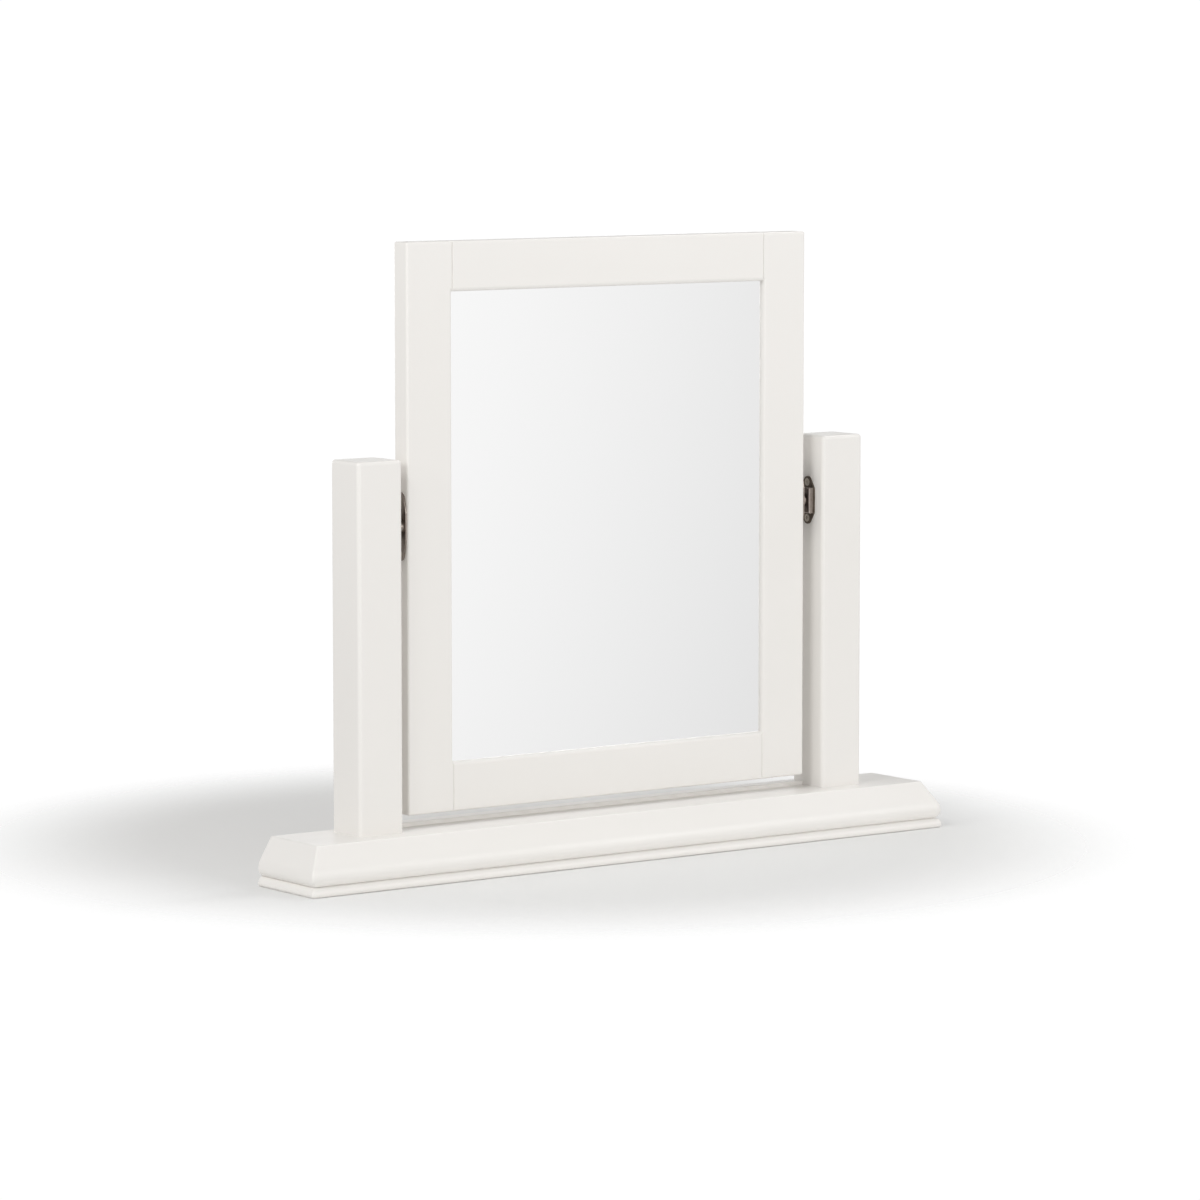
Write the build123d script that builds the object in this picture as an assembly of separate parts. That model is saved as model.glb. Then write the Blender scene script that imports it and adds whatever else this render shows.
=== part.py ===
from build123d import *
from math import acos, asin, atan2, cos, pi, sin, sqrt, tan
import os

# Dressing-table mirror: a framed glass that tilts between two posts on a moulded base.
# Millimetres. X runs from left to right as seen from the front, +Y to the back, +Z up.
# The origin is at the middle of the base, on the surface that it stands on.

# Base: a thin bead board with a moulded block glued on top of it
base_length = 700.0
base_depth = 86.0
bead_board_height = 9.0
bead_radius = 6.3
base_block_height = 34.0
base_top_inset = 14.0
nose_inset = 0.4
nose_lower_radius = 8.0
nose_under_height = 7.0
nose_upper_radius = 15.0
base_front_arris_radius = 2.5
base_back_arris_radius = 1.0
base_mitre_radius = 2.0
bead_back_arris_radius = 0.5
bead_mitre_radius = 1.5

# Posts, and the low batten between their feet
post_width = 46.0
post_depth = 43.0
post_height = 325.0
post_back_inset = 9.5
post_side_radius = 3.5
post_top_radius = 3.0
spacer_rail_depth = 15.0
spacer_rail_height = 3.5
spacer_rail_radius = 0.8

# Frame: two full-height stiles with two rails between them
frame_width = 440.0
frame_height = 500.0
frame_thickness = 20.0
frame_side_gap = 13.0
frame_bottom_gap = 12.0
stile_width = 48.0
rail_width = 44.0
frame_edge_radius = 2.0
sight_edge_radius = 3.5
joint_groove_width = 1.4
joint_groove_depth = 0.8

# What lies in the frame's rebate, from front to back
lip_thickness = 4.0
glass_rebate_width = 8.0
glass_thickness = 4.0
glass_edge_clearance = 1.0
packing_strip_width = 7.0
packing_edge_clearance = 0.25
backing_thickness = 3.0
backing_rebate_width = 8.0
backing_edge_clearance = 0.5

# Dowels across the frame's corner joints, two to a joint
dowel_diameter = 8.0
dowel_length = 40.0
dowel_first_offset = 10.0
dowel_spacing = 16.0
dowel_side_clearance = 0.05
dowel_end_clearance = 1.0

# Friction pivots, one at each side of the frame
pivot_rise = 3.0
fitting_plate_thickness = 1.5
post_plate_length = 44.0
post_plate_end_width = 11.0
post_plate_middle_width = 19.6
post_plate_middle_length = 22.0
post_plate_screw_spacing = 33.0
frame_plate_length = 60.0
frame_plate_end_width = 12.5
frame_plate_middle_width = 18.0
frame_plate_middle_length = 24.0
frame_plate_screw_spacing = 47.0
plate_rim_radius = 0.4
socket_length = 23.5
socket_width = 18.0
socket_height = 5.0
socket_wall = 1.0
socket_lip_width = 1.9
socket_bend_radius = 1.5
block_slide_clearance = 0.1
block_top_clearance = 2.0
block_boss_diameter = 8.6
block_boss_stand_out = 0.7
rivet_diameter = 4.5
rivet_running_clearance = 0.05
rivet_head_diameter = 7.0
rivet_head_thickness = 1.2
rivet_head_clearance = 0.2
rivet_tail_thickness = 1.2
washer_diameter = 12.0
washer_thickness = 0.8
washer_running_gap = 0.05
dome_diameter = 14.0
dome_fillet_radius = 0.8

# Screws
screw_hole_clearance = 0.05
plate_screw_diameter = 3.5
plate_screw_length = 16.0
plate_screw_head_diameter = 7.0
plate_screw_head_height = 1.4
post_screw_diameter = 5.0
post_screw_length = 90.0
post_screw_head_diameter = 9.5
post_screw_head_height = 2.6
post_screw_spacing = 22.0
post_screw_recess_depth = 4.0
post_screw_recess_diameter = 11.0
backing_screw_diameter = 3.0
backing_screw_length = 11.0
backing_screw_head_diameter = 6.0
backing_screw_head_height = 1.9
backing_screws_across = 3
backing_screws_up = 4
screw_point_length = 4.0
screw_tip_ratio = 0.25
pan_head_round_ratio = 0.6
cross_recess_ratio = 0.55
cross_recess_width = 0.8
cross_recess_depth = 0.9

# Places worked out from the sizes above
base_height = bead_board_height + base_block_height
post_inner_x = frame_width / 2 + frame_side_gap
post_back_y = base_depth / 2 - post_back_inset
pivot_y = post_back_y - post_depth / 2
frame_front_y = pivot_y - frame_thickness / 2
frame_back_y = pivot_y + frame_thickness / 2
frame_bottom_z = base_height + frame_bottom_gap
frame_top_z = frame_bottom_z + frame_height
frame_middle_z = (frame_bottom_z + frame_top_z) / 2
pivot_z = frame_middle_z + pivot_rise
joint_x = frame_width / 2 - stile_width
sight_half_height = frame_height / 2 - rail_width
glass_front_y = frame_front_y + lip_thickness
glass_back_y = glass_front_y + glass_thickness
backing_front_y = frame_back_y - backing_thickness
pocket_half_width = joint_x + glass_rebate_width
pocket_half_height = sight_half_height + glass_rebate_width
backing_half_width = pocket_half_width + backing_rebate_width
backing_half_height = pocket_half_height + backing_rebate_width

# How far the middle of a quarter arc lies in from the corner's two sides, for each mm of radius
quarter_arc_inset = 1 - sqrt(0.5)

# How close to a mitre's plane a point lies to count as on it
mitre_tolerance = 0.001

# Layers of a pivot, as distances from the post's inner face towards the frame
socket_back_layer = fitting_plate_thickness
socket_floor_layer = socket_back_layer + socket_wall
socket_rim_layer = socket_back_layer + socket_height
lip_inside_layer = socket_rim_layer - socket_wall
boss_top_layer = socket_rim_layer + block_boss_stand_out
washer_layer = boss_top_layer + washer_running_gap
dome_layer = washer_layer + washer_thickness
frame_plate_layer = frame_side_gap - fitting_plate_thickness


def block(x_range, y_range, z_range):
    """A plain box between two corners."""
    sizes = [high - low for low, high in (x_range, y_range, z_range)]
    middles = [(low + high) / 2 for low, high in (x_range, y_range, z_range)]
    return Pos(*middles) * Box(*sizes)


def span(middle, length):
    """The low and high ends of a length about its middle."""
    return (middle - length / 2, middle + length / 2)


def bead_edge(edge, inward):
    """The bead board's rounded edge from its underside to its top, at a side of the board."""
    under = bead_board_height - bead_radius
    lower_inset = under * quarter_arc_inset
    upper_inset = bead_radius * quarter_arc_inset

    def at(inset, height):
        return (edge + inward * inset, height)

    upper_middle = at(upper_inset, bead_board_height - upper_inset)
    lower = ThreePointArc(at(under, 0), at(lower_inset, lower_inset), at(0, under))
    upper = ThreePointArc(at(0, under), upper_middle, at(bead_radius, bead_board_height))
    return [lower, upper]


def nose_edge(edge, inward):
    """The block's edge: it rolls from its underside round a nose, up a slope, over an arris."""
    tip_height = bead_board_height + nose_under_height
    centre_inset = nose_inset + nose_upper_radius
    lower_angle = asin(nose_under_height / nose_lower_radius)
    run = base_top_inset - centre_inset
    rise = base_height - tip_height
    tangent_angle = atan2(rise, run) + acos(nose_upper_radius / sqrt(run**2 + rise**2))
    halfway_angle = (tangent_angle + pi) / 2

    def at(inset, height):
        return (edge + inward * inset, height)

    def on_upper_arc(angle):
        height = tip_height + nose_upper_radius * sin(angle)
        return at(centre_inset + nose_upper_radius * cos(angle), height)

    def on_lower_arc(angle):
        inset = nose_inset + nose_lower_radius * (1 - cos(angle))
        return at(inset, tip_height - nose_lower_radius * sin(angle))

    underside = on_lower_arc(lower_angle)
    lower_middle = on_lower_arc(lower_angle / 2)
    tip = at(nose_inset, tip_height)
    slope_angle = tangent_angle - pi / 2
    half_corner = (pi - slope_angle) / 2
    setback = base_front_arris_radius / tan(half_corner)
    slope_top = at(
        base_top_inset - setback * cos(slope_angle), base_height - setback * sin(slope_angle)
    )
    depth = base_front_arris_radius / sin(half_corner) - base_front_arris_radius
    arris_middle = at(
        base_top_inset + depth * cos(half_corner), base_height - depth * sin(half_corner)
    )
    lower = ThreePointArc(underside, lower_middle, tip)
    upper = ThreePointArc(tip, on_upper_arc(halfway_angle), on_upper_arc(tangent_angle))
    slope = Line(on_upper_arc(tangent_angle), slope_top)
    arris = ThreePointArc(slope_top, arris_middle, at(base_top_inset + setback, base_height))
    return [lower, upper, slope, arris]


def mitre_edges(board):
    """The edges where the front moulding meets the end mouldings, on the two 45 degree planes."""
    half_length = base_length / 2
    half_depth = base_depth / 2

    def on_mitre(point):
        return abs(half_length - abs(point.X) - half_depth - point.Y) < mitre_tolerance

    return [
        edge for edge in board.edges() if all(on_mitre(edge @ share) for share in (0, 0.5, 1))
    ]


def moulded_board(edge_shape, bottom, top, back_arris_radius, mitre_radius):
    """A board with the same moulding on its front and both ends, mitred, and a flat back."""
    half_length = base_length / 2
    half_depth = base_depth / 2
    front = edge_shape(-half_depth, 1)
    left = edge_shape(-half_length, 1)
    right = edge_shape(half_length, -1)
    arris_foot = (half_depth, top - back_arris_radius)
    arris_top = (half_depth - back_arris_radius, top)
    arris_inset = back_arris_radius * quarter_arc_inset
    arris_middle = (half_depth - arris_inset, top - arris_inset)
    back = [
        Line(front[0] @ 0, (half_depth, bottom)),
        Line((half_depth, bottom), arris_foot),
        ThreePointArc(arris_foot, arris_middle, arris_top),
        Line(arris_top, front[-1] @ 1),
    ]
    front_face = make_face([*front, *back])
    end_bottom = Line(left[0] @ 0, right[0] @ 0)
    end_top = Line(left[-1] @ 1, right[-1] @ 1)
    end_face = make_face([*left, end_top, *right, end_bottom])
    along = extrude(Plane.YZ * front_face, half_length, both=True)
    across = extrude(Plane.XZ * end_face, half_depth, both=True)
    board = along & across
    return fillet(mitre_edges(board), mitre_radius)


def screw_drill(diameter, length):
    """The round hole that a screw's shank needs, down from the origin."""
    radius = diameter / 2 + screw_hole_clearance
    return Pos(0, 0, -length / 2) * Cylinder(radius, length)


def countersink(head_diameter, head_height, diameter):
    """The cone that a countersunk head sits in, down from the origin."""
    top = head_diameter / 2 + screw_hole_clearance
    bottom = diameter / 2 + screw_hole_clearance
    return Pos(0, 0, -head_height / 2) * Cone(bottom, top, head_height)


def cross_recess(head_diameter):
    """The cross-shaped driver recess, down from the origin."""
    arm = head_diameter * cross_recess_ratio
    bars = Box(arm, cross_recess_width, cross_recess_depth)
    bars += Box(cross_recess_width, arm, cross_recess_depth)
    return Pos(0, 0, -cross_recess_depth / 2) * bars


def screw_body(diameter, start, length):
    """A screw's shank and point, from a distance under the head's top to the screw's end."""
    shank_length = length - screw_point_length - start
    shank = Pos(0, 0, -start - shank_length / 2) * Cylinder(diameter / 2, shank_length)
    tip_radius = screw_tip_ratio * diameter / 2
    point = Cone(tip_radius, diameter / 2, screw_point_length)
    return shank + Pos(0, 0, -length + screw_point_length / 2) * point


def countersunk_screw(diameter, length, head_diameter, head_height):
    """A countersunk screw with its flat top at the origin, pointing down."""
    head = Pos(0, 0, -head_height / 2) * Cone(diameter / 2, head_diameter / 2, head_height)
    return head + screw_body(diameter, head_height, length) - cross_recess(head_diameter)


def pan_screw(diameter, length, head_diameter, head_height):
    """A round-headed screw with the underside of its head at the origin, pointing down."""
    head = Pos(0, 0, head_height / 2) * Cylinder(head_diameter / 2, head_height)
    top_edge = head.edges().sort_by(Axis.Z)[-1]
    head = fillet(top_edge, head_height * pan_head_round_ratio)
    recess = Pos(0, 0, head_height) * cross_recess(head_diameter)
    return head + screw_body(diameter, 0, length) - recess


def post_screw_places():
    """Where the long screws go up into the posts, at the floor of their recesses."""
    middle_x = post_inner_x + post_width / 2
    return [
        Location((side * middle_x, pivot_y + shift, post_screw_recess_depth), (180, 0, 0))
        for side in (-1, 1)
        for shift in span(0, post_screw_spacing)
    ]


def drill_for_post_screws(piece):
    """Drills a piece for the long screws that come up through the base."""
    for place in post_screw_places():
        recess_height = post_screw_recess_depth
        recess = Cylinder(post_screw_recess_diameter / 2, recess_height)
        piece -= place * Pos(0, 0, recess_height / 2) * recess
        piece -= place * screw_drill(post_screw_diameter, post_screw_length)
        cone = countersink(post_screw_head_diameter, post_screw_head_height, post_screw_diameter)
        piece -= place * cone
    return piece


def make_bead_board():
    arrises = (bead_back_arris_radius, bead_mitre_radius)
    board = moulded_board(bead_edge, 0, bead_board_height, *arrises)
    return drill_for_post_screws(board)


def make_base_block():
    arrises = (base_back_arris_radius, base_mitre_radius)
    board = moulded_board(nose_edge, bead_board_height, base_height, *arrises)
    return drill_for_post_screws(board)


def make_spacer_rail():
    depth = (post_back_y - spacer_rail_depth, post_back_y)
    height = (base_height, base_height + spacer_rail_height)
    rail = block((-post_inner_x, post_inner_x), depth, height)
    top_edges = rail.edges().filter_by(Axis.X).sort_by(Axis.Z)[-2:]
    return fillet(top_edges, spacer_rail_radius)


def make_post(side):
    middle_x = side * (post_inner_x + post_width / 2)
    height = (base_height, base_height + post_height)
    post = block(span(middle_x, post_width), span(pivot_y, post_depth), height)
    post = fillet(post.edges().filter_by(Axis.Z), post_side_radius)
    post = fillet(post.faces().sort_by(Axis.Z)[-1].edges(), post_top_radius)
    post = drill_for_post_screws(post)
    for place in plate_screw_places(side, post_plate_screw_spacing, fitting_plate_thickness):
        post -= place * screw_drill(plate_screw_diameter, plate_screw_length)
    return post


def sight_edge_tool():
    """What is taken off round the sight opening to leave its front edge rounded."""
    radius = sight_edge_radius
    middle_y = frame_front_y + radius
    half_width = joint_x + radius
    half_height = sight_half_height + radius
    width = (-half_width, half_width)
    height = (frame_middle_z - half_height, frame_middle_z + half_height)
    tool = block(width, (frame_front_y - radius, middle_y), height)
    upright = Cylinder(radius, 2 * frame_height)
    lying = Cylinder(radius, 2 * frame_width, rotation=(0, 90, 0))
    for x in width:
        tool -= Pos(x, middle_y, frame_middle_z) * upright
    for z in height:
        tool -= Pos(0, middle_y, z) * lying
    return tool


def joint_groove_tool():
    """The fine V grooves down the four joints, as far as the sight opening."""
    half_width = joint_groove_width / 2
    tools = []
    for x in (-joint_x, joint_x):
        wide = (x - 2 * half_width, x + 2 * half_width)
        outside_y = frame_front_y - joint_groove_depth
        apex = (x, frame_front_y + joint_groove_depth)
        shape = Polygon((wide[0], outside_y), (wide[1], outside_y), apex, align=None)
        for bottom in (frame_bottom_z, frame_top_z - rail_width):
            tools.append(Pos(0, 0, bottom) * extrude(shape, rail_width))
    return tools


def dowel_places():
    """The middle of each dowel, on the joint that it crosses."""
    offsets = (dowel_first_offset, dowel_first_offset + dowel_spacing)
    heights = [frame_bottom_z + offset for offset in offsets]
    heights += [frame_top_z - offset for offset in offsets]
    return [
        Location((x, pivot_y, z), (0, 90, 0)) for x in (-joint_x, joint_x) for z in heights
    ]


def backing_screw_places():
    """The heads' seats round the backing board, each facing the back."""
    half_width = pocket_half_width + backing_rebate_width / 2
    half_height = pocket_half_height + backing_rebate_width / 2
    places = []
    for column in range(backing_screws_across):
        x = half_width * (2 * (column + 0.5) / backing_screws_across - 1)
        places += [(x, -half_height), (x, half_height)]
    for row in range(backing_screws_up):
        z = half_height * (2 * (row + 0.5) / backing_screws_up - 1)
        places += [(-half_width, z), (half_width, z)]
    return [
        Plane(origin=(x, frame_back_y, frame_middle_z + z), z_dir=(0, 1, 0)) for x, z in places
    ]


def cut_frame_member(member):
    """Cuts a frame member for what crosses it: rebates, sight edge, grooves and drillings."""
    heights = (frame_middle_z - pocket_half_height, frame_middle_z + pocket_half_height)
    pocket_width = (-pocket_half_width, pocket_half_width)
    member -= block(pocket_width, (glass_front_y, frame_back_y), heights)
    heights = (frame_middle_z - backing_half_height, frame_middle_z + backing_half_height)
    backing_width = (-backing_half_width, backing_half_width)
    member -= block(backing_width, (backing_front_y, frame_back_y), heights)
    member -= sight_edge_tool()
    for tool in joint_groove_tool():
        member -= tool
    hole_length = dowel_length + 2 * dowel_end_clearance
    for place in dowel_places():
        member -= place * Cylinder(dowel_diameter / 2 + dowel_side_clearance, hole_length)
    for place in backing_screw_places():
        member -= place * screw_drill(backing_screw_diameter, backing_screw_length)
    return member


def make_stile(side):
    outer = side * frame_width / 2
    inner = side * joint_x
    depth = (frame_front_y, frame_back_y)
    stile = block(sorted((inner, outer)), depth, (frame_bottom_z, frame_top_z))
    joint_face = stile.faces().sort_by(Axis.X)[0 if side > 0 else -1]
    joint_edges = joint_face.edges()
    outer_edges = [edge for edge in stile.edges() if edge not in joint_edges]
    stile = cut_frame_member(fillet(outer_edges, frame_edge_radius))
    for place in plate_screw_places(side, frame_plate_screw_spacing, frame_plate_layer):
        stile -= place * screw_drill(plate_screw_diameter, plate_screw_length)
    return stile


def make_rail(bottom, outer_end):
    depth = (frame_front_y, frame_back_y)
    rail = block((-joint_x, joint_x), depth, (bottom, bottom + rail_width))
    long_edges = rail.edges().filter_by(Axis.X).sort_by(Axis.Z)
    outer_edges = long_edges[-2:] if outer_end == "top" else long_edges[:2]
    return cut_frame_member(fillet(outer_edges, frame_edge_radius))


def make_corner_dowels():
    dowel = Cylinder(dowel_diameter / 2, dowel_length)
    return Compound([place * dowel for place in dowel_places()])


def make_mirror_glass():
    half_width = pocket_half_width - glass_edge_clearance
    half_height = pocket_half_height - glass_edge_clearance
    height = (frame_middle_z - half_height, frame_middle_z + half_height)
    return block((-half_width, half_width), (glass_front_y, glass_back_y), height)


def make_packing_strips():
    """Two full-height strips with two shorter ones between them."""
    depth = (glass_back_y, backing_front_y)
    half_width = pocket_half_width - packing_edge_clearance
    half_height = pocket_half_height - packing_edge_clearance
    inner_width = half_width - packing_strip_width
    inner_height = half_height - packing_strip_width
    strips = []
    for side in (-1, 1):
        ends = sorted((side * inner_width, side * half_width))
        height = (frame_middle_z - half_height, frame_middle_z + half_height)
        strips.append(block(ends, depth, height))
        low = sorted((side * inner_height, side * half_height))
        height = [frame_middle_z + z for z in low]
        strips.append(block((-inner_width, inner_width), depth, height))
    return Compound(strips)


def make_backing_board():
    half_width = backing_half_width - backing_edge_clearance
    half_height = backing_half_height - backing_edge_clearance
    height = (frame_middle_z - half_height, frame_middle_z + half_height)
    board = block((-half_width, half_width), (backing_front_y, frame_back_y), height)
    for place in backing_screw_places():
        board -= place * screw_drill(backing_screw_diameter, backing_screw_length)
    return board


def make_backing_screws():
    sizes = (backing_screw_length, backing_screw_head_diameter, backing_screw_head_height)
    screw = pan_screw(backing_screw_diameter, *sizes)
    return Compound([place * screw for place in backing_screw_places()])


def make_post_screws():
    sizes = (post_screw_length, post_screw_head_diameter, post_screw_head_height)
    screw = countersunk_screw(post_screw_diameter, *sizes)
    return Compound([place * screw for place in post_screw_places()])


def pivot_plane(side):
    """The pivot line at a post's inner face: local z towards the frame, local x upwards."""
    origin = (side * post_inner_x, pivot_y, pivot_z)
    return Plane(origin=origin, x_dir=(0, 0, 1), z_dir=(-side, 0, 0))


def plate_screw_places(side, spacing, layer):
    """Places of a plate's screw heads: on the post's plate they face the frame, and back."""
    faces_frame = layer < frame_side_gap / 2
    turn = 0 if faces_frame else 180
    plane = pivot_plane(side)
    return [plane * Location((shift, 0, layer), (turn, 0, 0)) for shift in span(0, spacing)]


def pressed_plate(length, end_width, middle_width, middle_length):
    """A fitting plate with rounded ends and a broader middle, its upper rim softened."""
    end_middle = (length - end_width) / 2
    outline = Rectangle(middle_length, middle_width).edges()
    for shift in (-end_middle, end_middle):
        outline += (Pos(shift, 0) * Circle(end_width / 2)).edges()
    plate = extrude(make_hull(outline), fitting_plate_thickness)
    return fillet(plate.faces().sort_by(Axis.Z)[-1].edges(), plate_rim_radius)


def drill_plate(plate, spacing, layer, turn):
    """Drills and countersinks a plate for its two screws, in the pivot's own plane."""
    cone = countersink(plate_screw_head_diameter, plate_screw_head_height, plate_screw_diameter)
    for shift in span(0, spacing):
        place = Location((shift, 0, layer), (turn, 0, 0))
        plate -= place * screw_drill(plate_screw_diameter, plate_screw_length)
        plate -= place * cone
    return plate


def layer_disc(diameter, start, end):
    """A disc about the pivot line, between two layers."""
    return Pos(0, 0, (start + end) / 2) * Cylinder(diameter / 2, end - start)


def make_post_plate(side):
    sizes = (post_plate_end_width, post_plate_middle_width, post_plate_middle_length)
    plate = pressed_plate(post_plate_length, *sizes)
    plate = drill_plate(plate, post_plate_screw_spacing, fitting_plate_thickness, 0)
    return pivot_plane(side) * plate


def make_socket(side):
    """A channel of folded sheet, closed at the bottom and open at the top."""
    length = span(0, socket_length)
    inside = socket_width / 2 - socket_wall
    layers = (socket_back_layer, socket_rim_layer)
    socket = block(length, span(0, socket_width), layers)
    socket = fillet(socket.faces().sort_by(Axis.Z)[-1].edges(), socket_bend_radius)
    floor_end = length[0] + socket_wall
    channel_layers = (socket_floor_layer, lip_inside_layer)
    socket -= block((floor_end, length[1]), (-inside, inside), channel_layers)
    mouth = inside - socket_lip_width
    mouth_layers = (lip_inside_layer, socket_rim_layer)
    socket -= block((floor_end, length[1]), (-mouth, mouth), mouth_layers)
    return pivot_plane(side) * socket


def make_pivot_block(side):
    """The block that slides down into the socket, with a boss that the washer bears on."""
    bottom = -socket_length / 2 + socket_wall
    top = socket_length / 2 - block_top_clearance
    half_width = socket_width / 2 - socket_wall - block_slide_clearance
    back = socket_floor_layer + block_slide_clearance
    front = lip_inside_layer - block_slide_clearance
    body = block((bottom, top), (-half_width, half_width), (back, front))
    body += layer_disc(block_boss_diameter, back, boss_top_layer)
    bore = rivet_diameter + 2 * rivet_running_clearance
    body -= layer_disc(bore, back, boss_top_layer)
    recess = rivet_head_diameter + 2 * rivet_head_clearance
    body -= layer_disc(recess, back, back + rivet_head_thickness + 2 * rivet_head_clearance)
    return pivot_plane(side) * body


def make_pivot_rivet(side):
    """Head in the block, shank through block and washer, tail spread inside the plate's dome."""
    head_start = socket_floor_layer + block_slide_clearance + rivet_head_clearance
    head_end = head_start + rivet_head_thickness
    tail_start = dome_layer + fitting_plate_thickness
    tail_end = tail_start + rivet_tail_thickness
    rivet = layer_disc(rivet_head_diameter, head_start, head_end)
    rivet += layer_disc(rivet_diameter, head_start, tail_end)
    rivet += layer_disc(rivet_head_diameter, tail_start, tail_end)
    return pivot_plane(side) * rivet


def make_spring_washer(side):
    washer = layer_disc(washer_diameter, washer_layer, dome_layer)
    bore = rivet_diameter + 2 * rivet_running_clearance
    washer -= layer_disc(bore, washer_layer, dome_layer)
    return pivot_plane(side) * washer


def make_frame_plate(side):
    """A flat plate with a pressed hollow dome that reaches out to the washer."""
    sizes = (frame_plate_end_width, frame_plate_middle_width, frame_plate_middle_length)
    plate = pressed_plate(frame_plate_length, *sizes)
    plate = Pos(0, 0, frame_side_gap) * Rot(180, 0, 0) * plate
    dome = layer_disc(dome_diameter, dome_layer, frame_side_gap)
    rim = dome.edges().sort_by(Axis.Z)[0]
    plate += fillet(rim, dome_fillet_radius)
    hollow = dome_diameter - 2 * fitting_plate_thickness
    plate -= layer_disc(hollow, dome_layer + fitting_plate_thickness, frame_side_gap)
    bore = rivet_diameter + 2 * rivet_running_clearance
    plate -= layer_disc(bore, dome_layer, frame_side_gap)
    plate = drill_plate(plate, frame_plate_screw_spacing, frame_plate_layer, 180)
    return pivot_plane(side) * plate


def make_plate_screws(spacing, layer):
    sizes = (plate_screw_length, plate_screw_head_diameter, plate_screw_head_height)
    screw = countersunk_screw(plate_screw_diameter, *sizes)
    places = plate_screw_places(-1, spacing, layer) + plate_screw_places(1, spacing, layer)
    return Compound([place * screw for place in places])


parts = {
    "bead_board": make_bead_board(),
    "base_block": make_base_block(),
    "spacer_rail": make_spacer_rail(),
    "post_screws": make_post_screws(),
    "top_rail": make_rail(frame_top_z - rail_width, "top"),
    "bottom_rail": make_rail(frame_bottom_z, "bottom"),
    "corner_dowels": make_corner_dowels(),
    "mirror_glass": make_mirror_glass(),
    "packing_strips": make_packing_strips(),
    "backing_board": make_backing_board(),
    "backing_screws": make_backing_screws(),
    "post_plate_screws": make_plate_screws(post_plate_screw_spacing, fitting_plate_thickness),
    "frame_plate_screws": make_plate_screws(frame_plate_screw_spacing, frame_plate_layer),
}
for name, side in (("left", -1), ("right", 1)):
    parts[name + "_post"] = make_post(side)
    parts[name + "_stile"] = make_stile(side)
    parts[name + "_post_plate"] = make_post_plate(side)
    parts[name + "_socket"] = make_socket(side)
    parts[name + "_pivot_block"] = make_pivot_block(side)
    parts[name + "_pivot_rivet"] = make_pivot_rivet(side)
    parts[name + "_spring_washer"] = make_spring_washer(side)
    parts[name + "_frame_plate"] = make_frame_plate(side)

os.makedirs("parts", exist_ok=True)
for name, part in parts.items():
    export_step(part, f"parts/{name}.step")
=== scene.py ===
import math

import bpy
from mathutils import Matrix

# Dressing-table mirror. Metres, in the frame of the solids: X to the right, Y to the back, Z up.

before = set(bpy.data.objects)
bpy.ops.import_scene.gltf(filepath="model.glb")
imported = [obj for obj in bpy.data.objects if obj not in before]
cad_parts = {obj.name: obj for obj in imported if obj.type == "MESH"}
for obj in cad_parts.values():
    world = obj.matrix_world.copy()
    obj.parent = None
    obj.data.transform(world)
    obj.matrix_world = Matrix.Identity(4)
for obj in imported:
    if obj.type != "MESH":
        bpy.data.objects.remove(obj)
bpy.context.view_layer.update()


# Bead board: the thin lower board of the base, planed pine with a rounded edge on the front and
# the ends. Like all the woodwork that shows, it is sprayed with satin off-white paint, which
# leaves a faint stipple and lets a little of the grain through, along the length of the board.

def new_material(name):
    """An empty material with its surface shader, ready for the nodes of its finish."""
    material = bpy.data.materials.new(name)
    material.use_nodes = True
    return material, material.node_tree, material.node_tree.nodes["Principled BSDF"]


def pattern(tree, fineness, octaves, roughness=0.5, along=(1, 1, 1)):
    """Noise in object space. On each axis, its waves to the metre are fineness times along."""
    place = tree.nodes.new("ShaderNodeTexCoord")
    mapping = tree.nodes.new("ShaderNodeMapping")
    mapping.inputs["Scale"].default_value = along
    noise = tree.nodes.new("ShaderNodeTexNoise")
    noise.inputs["Scale"].default_value = fineness
    noise.inputs["Detail"].default_value = octaves
    noise.inputs["Roughness"].default_value = roughness
    tree.links.new(place.outputs["Object"], mapping.inputs["Vector"])
    tree.links.new(mapping.outputs["Vector"], noise.inputs["Vector"])
    return noise.outputs["Fac"]


noise_low, noise_high = 0.3, 0.7


def spread(tree, value, low, high):
    """Maps the range in which most of a noise lies to low and high."""
    remap = tree.nodes.new("ShaderNodeMapRange")
    remap.inputs["From Min"].default_value = noise_low
    remap.inputs["From Max"].default_value = noise_high
    remap.inputs["To Min"].default_value = low
    remap.inputs["To Max"].default_value = high
    tree.links.new(value, remap.inputs["Value"])
    return remap.outputs["Result"]


def blend_colours(tree, value, low, high):
    """A colour between low and high, by a noise."""
    mix = tree.nodes.new("ShaderNodeMix")
    mix.data_type = "RGBA"
    mix.inputs["A"].default_value = (*low, 1)
    mix.inputs["B"].default_value = (*high, 1)
    tree.links.new(spread(tree, value, 0, 1), mix.inputs["Factor"])
    return mix.outputs["Result"]


def raise_surface(tree, value, height, under=None):
    """Raises the surface by a noise, over an earlier relief if there is one."""
    bump = tree.nodes.new("ShaderNodeBump")
    bump.inputs["Distance"].default_value = height
    tree.links.new(value, bump.inputs["Height"])
    if under:
        tree.links.new(under, bump.inputs["Normal"])
    return bump.outputs["Normal"]


paint_dark, paint_light = (0.853, 0.83, 0.795), (0.863, 0.84, 0.808)
paint_roughness = (0.31, 0.37)
cloud_waves = 6
stipple_waves = 900
grain_along, grain_across = 5, 160
grain_relief = 0.00003
stipple_relief = 0.000012


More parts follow.
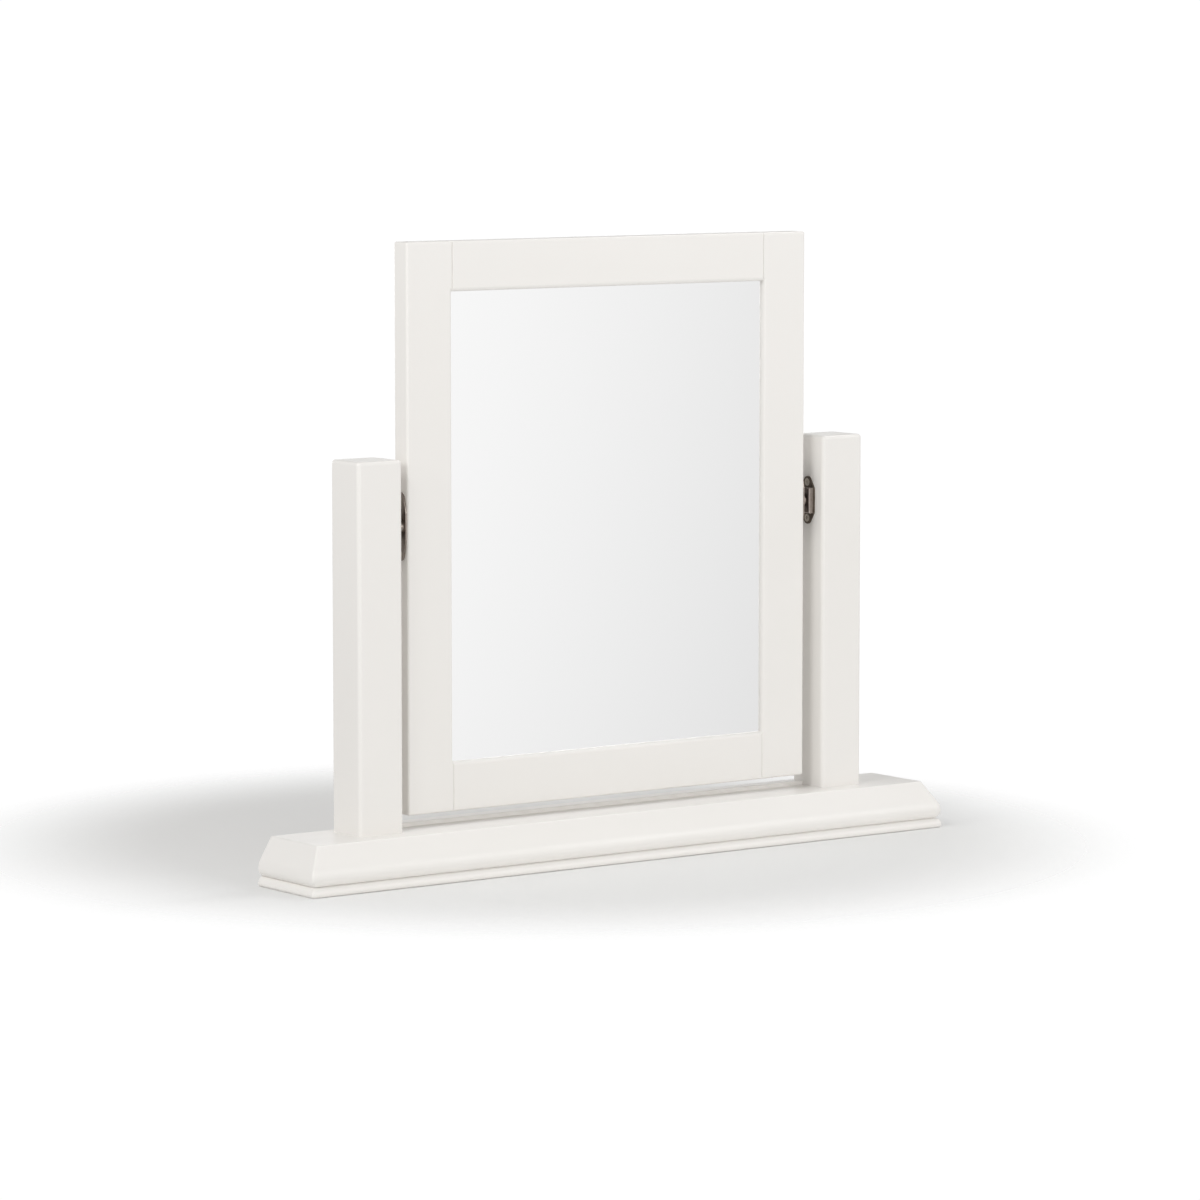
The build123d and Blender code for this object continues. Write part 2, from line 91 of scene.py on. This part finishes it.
def satin_paint(name, grain_waves):
    """Satin off-white paint on wood whose grain runs along one axis."""
    material, tree, shader = new_material(name)
    cloud = pattern(tree, cloud_waves, octaves=2)
    grain = pattern(tree, 1, octaves=5, roughness=0.6, along=grain_waves)
    stipple = pattern(tree, stipple_waves, octaves=2)
    colour = blend_colours(tree, cloud, paint_dark, paint_light)
    relief = raise_surface(tree, grain, grain_relief)
    relief = raise_surface(tree, stipple, stipple_relief, relief)
    tree.links.new(colour, shader.inputs["Base Color"])
    tree.links.new(spread(tree, grain, *paint_roughness), shader.inputs["Roughness"])
    tree.links.new(relief, shader.inputs["Normal"])
    return material


def finish_node(name, material):
    """Gives a solid of the frame its material."""
    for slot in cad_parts[name].material_slots:
        slot.material = material


lying_paint = satin_paint("satin_paint_lying", (grain_along, grain_across, grain_across))
finish_node("bead_board", lying_paint)


# Base block: the upper moulded board, glued on top of the bead board. Its front and ends roll
# under to a rounded nose, and its slopes meet in softened mitres at the two front corners.

finish_node("base_block", lying_paint)


# Posts: two lengths of square stock with rounded edges and tops, painted as the base is but with
# their grain upright. They are screwed on from under the base.

upright_paint = satin_paint("satin_paint_upright", (grain_across, grain_across, grain_along))
for name in ("left_post", "right_post"):
    finish_node(name, upright_paint)


# Spacer rail: the low painted batten that is glued to the base between the feet of the posts and
# keeps them apart.

finish_node("spacer_rail", lying_paint)


# Post screws: four long steel screws, sunk into the underside of the base. They are bright zinc
# plated, with the plating's faint cloudiness.

plating_waves = 400


def plated_steel(name, dark, light, roughness):
    """Zinc-plated steel, clouded between two shades."""
    material, tree, shader = new_material(name)
    cloud = pattern(tree, plating_waves, octaves=3)
    shader.inputs["Metallic"].default_value = 1
    tree.links.new(blend_colours(tree, cloud, dark, light), shader.inputs["Base Color"])
    tree.links.new(spread(tree, cloud, *roughness), shader.inputs["Roughness"])
    return material


zinc_dark, zinc_light = (0.52, 0.51, 0.49), (0.62, 0.61, 0.6)
zinc_roughness = (0.25, 0.4)
bright_zinc = plated_steel("bright_zinc", zinc_dark, zinc_light, zinc_roughness)
finish_node("post_screws", bright_zinc)


# Frame: two full-height stiles with two rails dowelled between them, painted as one, with a
# fine groove left down each joint.

for name in ("left_stile", "right_stile"):
    finish_node(name, upright_paint)
for name in ("top_rail", "bottom_rail"):
    finish_node(name, lying_paint)


# Corner dowels: eight turned beech pegs, two glued into each corner of the frame, from the end
# of the rail into the stile. The wood is bare.

bare_roughness = 0.65
bare_relief = 0.0001


def bare_wood(name, light, dark, grain_waves):
    """Unpainted wood whose grain runs along one axis."""
    material, tree, shader = new_material(name)
    grain = pattern(tree, 1, octaves=5, roughness=0.6, along=grain_waves)
    tree.links.new(blend_colours(tree, grain, light, dark), shader.inputs["Base Color"])
    tree.links.new(raise_surface(tree, grain, bare_relief), shader.inputs["Normal"])
    shader.inputs["Roughness"].default_value = bare_roughness
    return material


beech_light, beech_dark = (0.6, 0.38, 0.2), (0.5, 0.29, 0.14)
beech_grain = (8, 400, 400)
beech = bare_wood("bare_beech", beech_light, beech_dark, beech_grain)
finish_node("corner_dowels", beech)


# Mirror: a float glass plate, silvered on its back and sealed there with grey paint. The front
# is a clean mirror with the faintest wipe marks, and the ground edges show the green of glass.

silver = (0.94, 0.94, 0.94, 1)
sealing_paint = (0.3, 0.31, 0.33, 1)
green_edge = (0.2, 0.36, 0.3, 1)
silver_roughness = (0.004, 0.02)
sealing_roughness = 0.55
edge_roughness = 0.3
wipe_waves = (6, 2, 18)
least_along_y = 0.7


def silvered_glass(name):
    """A mirror on its front, sealing paint on its back and green glass on its edges."""
    material, tree, shader = new_material(name)
    wipes = pattern(tree, 1, octaves=4, along=wipe_waves)
    place = tree.nodes.new("ShaderNodeTexCoord")
    facing = tree.nodes.new("ShaderNodeSeparateXYZ")
    tree.links.new(place.outputs["Normal"], facing.inputs["Vector"])

    def faces_along_y(sign):
        """1 on the face that looks along Y with this sign, and 0 elsewhere."""
        turned = tree.nodes.new("ShaderNodeMath")
        turned.operation = "MULTIPLY"
        turned.inputs[1].default_value = sign
        limit = tree.nodes.new("ShaderNodeMath")
        limit.operation = "GREATER_THAN"
        limit.inputs[1].default_value = least_along_y
        tree.links.new(facing.outputs["Y"], turned.inputs[0])
        tree.links.new(turned.outputs["Value"], limit.inputs[0])
        return limit.outputs["Value"]

    def mixed(kind, factor, low, high):
        """Blends two values or colours, each a plain one or a node's output."""
        mix = tree.nodes.new("ShaderNodeMix")
        mix.data_type = kind
        tree.links.new(factor, mix.inputs["Factor"])
        for socket, value in (("A", low), ("B", high)):
            if isinstance(value, bpy.types.NodeSocket):
                tree.links.new(value, mix.inputs[socket])
            else:
                mix.inputs[socket].default_value = value
        return mix.outputs["Result"]

    front, back = faces_along_y(-1), faces_along_y(1)
    colour = mixed("RGBA", back, green_edge, sealing_paint)
    colour = mixed("RGBA", front, colour, silver)
    roughness = mixed("FLOAT", back, edge_roughness, sealing_roughness)
    roughness = mixed("FLOAT", front, roughness, spread(tree, wipes, *silver_roughness))
    tree.links.new(colour, shader.inputs["Base Color"])
    tree.links.new(front, shader.inputs["Metallic"])
    tree.links.new(roughness, shader.inputs["Roughness"])
    return material


finish_node("mirror_glass", silvered_glass("silvered_glass"))


# Packing strips: four bare softwood strips that lie in the rebate behind the edge of the glass
# and keep the backing board off it.

softwood_light, softwood_dark = (0.68, 0.46, 0.24), (0.52, 0.3, 0.13)
softwood_grain = (200, 200, 8)
softwood = bare_wood("bare_softwood", softwood_light, softwood_dark, softwood_grain)
finish_node("packing_strips", softwood)


# Backing board: thin brown hardboard, pressed fibre with a smooth back, held in the rebate by
# small bright screws all round.

fibre_dark, fibre_light = (0.2, 0.095, 0.04), (0.27, 0.14, 0.065)
fibre_waves = 350
fibre_relief = 0.00005
hardboard_roughness = 0.5


def hardboard(name):
    """Hardboard with its fibres showing as fine flecks."""
    material, tree, shader = new_material(name)
    fibre = pattern(tree, fibre_waves, octaves=6, roughness=0.7)
    colour = blend_colours(tree, fibre, fibre_dark, fibre_light)
    tree.links.new(colour, shader.inputs["Base Color"])
    tree.links.new(raise_surface(tree, fibre, fibre_relief), shader.inputs["Normal"])
    shader.inputs["Roughness"].default_value = hardboard_roughness
    return material


finish_node("backing_board", hardboard("hardboard"))
finish_node("backing_screws", bright_zinc)


# Post plates: an eared plate of dark bronzed steel on the inner face of each post, with two
# countersunk screws whose heads are coloured a paler bronze as a painted highlight.

patch_waves = 220
patch_relief = 0.00002


def bronzed_steel(name, dark, light, roughness):
    """Steel with a bronze finish that is patchy from wear."""
    material, tree, shader = new_material(name)
    patches = pattern(tree, patch_waves, octaves=4, roughness=0.6)
    shader.inputs["Metallic"].default_value = 1
    tree.links.new(blend_colours(tree, patches, dark, light), shader.inputs["Base Color"])
    tree.links.new(spread(tree, patches, *roughness), shader.inputs["Roughness"])
    tree.links.new(raise_surface(tree, patches, patch_relief), shader.inputs["Normal"])
    return material


dark_bronze = bronzed_steel(
    "dark_bronze", dark=(0.1, 0.08, 0.062), light=(0.16, 0.13, 0.105), roughness=(0.36, 0.48)
)
# The screws' paler bronze is a painted highlight on their heads.
screw_bronze_painted_highlight = bronzed_steel(
    "screw_bronze_painted_highlight", dark=(0.36, 0.32, 0.27), light=(0.5, 0.45, 0.38), roughness=(0.25, 0.35)
)
for name in ("left_post_plate", "right_post_plate"):
    finish_node(name, dark_bronze)
finish_node("post_plate_screws", screw_bronze_painted_highlight)


# Sockets and pivot blocks: each post plate carries an open-topped channel of folded steel, and a
# block drops into it from above. Their bronze is a paler copy of the post plates' bronze, a
# painted reflection of the light they catch from the left.

bronze_painted_reflection = bronzed_steel(
    "bronze_painted_reflection", dark=(0.26, 0.22, 0.195), light=(0.36, 0.315, 0.285), roughness=(0.3, 0.42)
)
for name in ("left_socket", "right_socket", "left_pivot_block", "right_pivot_block"):
    finish_node(name, bronze_painted_reflection)


# Frame plates: a longer plate of the same paler bronze with its painted reflection, screwed to
# each side of the frame with two countersunk screws, whose paler heads are a painted highlight.

for name in ("left_frame_plate", "right_frame_plate"):
    finish_node(name, bronze_painted_reflection)
finish_node("frame_plate_screws", screw_bronze_painted_highlight)


# Pivot rivets and spring washers: a rivet holds each frame plate to its block, and turns in it
# against a spring washer that gives the friction. Both are zinc plated and have gone dull.

dull_zinc = plated_steel(
    "dull_zinc", dark=(0.16, 0.145, 0.125), light=(0.24, 0.22, 0.195), roughness=(0.4, 0.5)
)
for side in ("left_", "right_"):
    finish_node(side + "pivot_rivet", dull_zinc)
    finish_node(side + "spring_washer", dull_zinc)


# Floor: a plain, pale matt disc with its middle a little behind the object. It is solid round
# the object and fades into the white surround towards its rim.

floor_radius = 0.62
floor_middle = (0, 0.12, 0)
solid_radius = 0.33
clear_rim = 0.02
floor_colour = (0.82, 0.82, 0.81, 1)
floor_roughness = 0.9
floor_gloss = 0.1
bpy.ops.object.select_all(action="DESELECT")
bpy.ops.mesh.primitive_circle_add(
    vertices=128, radius=floor_radius, fill_type="NGON", location=floor_middle
)
floor = bpy.context.object
floor.name = "floor"
material, tree, shader = new_material("pale_floor")
shader.inputs["Base Color"].default_value = floor_colour
shader.inputs["Roughness"].default_value = floor_roughness
shader.inputs["Specular IOR Level"].default_value = floor_gloss
place = tree.nodes.new("ShaderNodeTexCoord")
reach = tree.nodes.new("ShaderNodeVectorMath")
reach.operation = "LENGTH"
fade = tree.nodes.new("ShaderNodeMapRange")
fade.interpolation_type = "SMOOTHSTEP"
fade.inputs["From Min"].default_value = solid_radius
fade.inputs["From Max"].default_value = floor_radius - clear_rim
fade.inputs["To Min"].default_value = 1
fade.inputs["To Max"].default_value = 0
tree.links.new(place.outputs["Object"], reach.inputs[0])
tree.links.new(reach.outputs["Value"], fade.inputs["Value"])
tree.links.new(fade.outputs["Result"], shader.inputs["Alpha"])
floor.data.materials.append(material)


# Light: the surround is white to look at, but gives a dimmer, even light, a little stronger from
# the pale ground in front. A large bright card low in front shows in the glass. It shades off
# between the two angles from its middle that card_edge gives in degrees.

white_to_look_at = 1.03
even_light = 0.45
ground_light = 0.68
ground_front_to_back = (-0.5, 0.5)
ground_bottom_to_top = (0, 0.3)
card_light = 1.035
card_middle = (0.297, -0.945, 0.012)
card_edge = (27.7, 16.3)

world = bpy.data.worlds.new("surround")
world.use_nodes = True
tree = world.node_tree
background = tree.nodes["Background"]
background.inputs["Color"].default_value = (1, 1, 1, 1)
place = tree.nodes.new("ShaderNodeTexCoord")
apart = tree.nodes.new("ShaderNodeSeparateXYZ")
towards_card = tree.nodes.new("ShaderNodeVectorMath")
towards_card.operation = "DOT_PRODUCT"
towards_card.inputs[1].default_value = card_middle
kind_of_ray = tree.nodes.new("ShaderNodeLightPath")
tree.links.new(place.outputs["Generated"], apart.inputs["Vector"])
tree.links.new(place.outputs["Generated"], towards_card.inputs[0])


def shade_off(value, span, low, high):
    """Passes smoothly from low to high as a value goes from one end of a span to the other."""
    ramp = tree.nodes.new("ShaderNodeMapRange")
    ramp.interpolation_type = "SMOOTHSTEP"
    ramp.inputs["From Min"].default_value, ramp.inputs["From Max"].default_value = span
    ramp.inputs["To Min"].default_value = low
    ramp.inputs["To Max"].default_value = high
    tree.links.new(value, ramp.inputs["Value"])
    return ramp.outputs["Result"]


def choose(factor, low, high):
    """Blends two strengths, each a number or a node's output."""
    mix = tree.nodes.new("ShaderNodeMix")
    tree.links.new(factor, mix.inputs["Factor"])
    for socket, strength in (("A", low), ("B", high)):
        if isinstance(strength, float):
            mix.inputs[socket].default_value = strength
        else:
            tree.links.new(strength, mix.inputs[socket])
    return mix.outputs["Result"]


ground = shade_off(apart.outputs["Y"], ground_front_to_back, ground_light, even_light)
above_ground = shade_off(apart.outputs["Z"], ground_bottom_to_top, 0, 1)
edge_cosines = [math.cos(math.radians(angle)) for angle in card_edge]
on_card = shade_off(towards_card.outputs["Value"], edge_cosines, 0, 1)
strength = choose(above_ground, ground, even_light)
strength = choose(on_card, strength, card_light)
strength = choose(kind_of_ray.outputs["Is Camera Ray"], strength, white_to_look_at)
tree.links.new(strength, background.inputs["Strength"])
bpy.context.scene.world = world


# Softboxes: square and oblong lamps to the left, in front, to the right and behind, all white and
# turned towards the middle of the object's height.

middle_of_object = 0.3


def softbox(name, heading, height, distance, size, power):
    """A softbox at a heading and height in degrees, 0 being straight in front and level."""
    light = bpy.data.lights.new(name, "AREA")
    light.shape = "RECTANGLE"
    light.size, light.size_y = size
    light.energy = power
    lamp = bpy.data.objects.new(name, light)
    bpy.context.scene.collection.objects.link(lamp)
    turn, rise = math.radians(heading), math.radians(height)
    lamp.location = (
        distance * math.sin(turn) * math.cos(rise),
        -distance * math.cos(turn) * math.cos(rise),
        distance * math.sin(rise) + middle_of_object,
    )
    lamp.rotation_euler = (math.pi / 2 - rise, 0, turn)


softbox("key", heading=-67, height=40, distance=2.4, size=(0.5, 0.5), power=10)
softbox("left_fill", heading=-90, height=20, distance=2.4, size=(0.8, 0.8), power=14.5)
softbox("front_fill", heading=0, height=8, distance=2.4, size=(1, 0.5), power=9.8)
softbox("right_fill", heading=40, height=15, distance=2.4, size=(0.8, 0.8), power=7)
softbox("high_right", heading=90, height=53, distance=2.2, size=(0.5, 0.5), power=8.5)
softbox("back_right", heading=150, height=7, distance=2.4, size=(1.2, 0.5), power=2)
softbox("back", heading=180, height=6, distance=2.4, size=(1.2, 0.4), power=5)


# Camera: to the left of the object and a little above it, with a long lens. Its heading and dip
# are in radians, and its lens and sensor in millimetres.

camera_place = (-2.811, -3.7859, 0.7303)
camera_heading = -0.6363
camera_dip = -0.1055
sensor_width = 36
focal_length = 159.25
lens = bpy.data.cameras.new("camera")
lens.sensor_width = sensor_width
lens.lens = focal_length
camera = bpy.data.objects.new("camera", lens)
camera.location = camera_place
camera.rotation_euler = (math.pi / 2 + camera_dip, 0, camera_heading)
bpy.context.scene.collection.objects.link(camera)
bpy.context.scene.camera = camera
bpy.context.scene.view_settings.view_transform = "Standard"
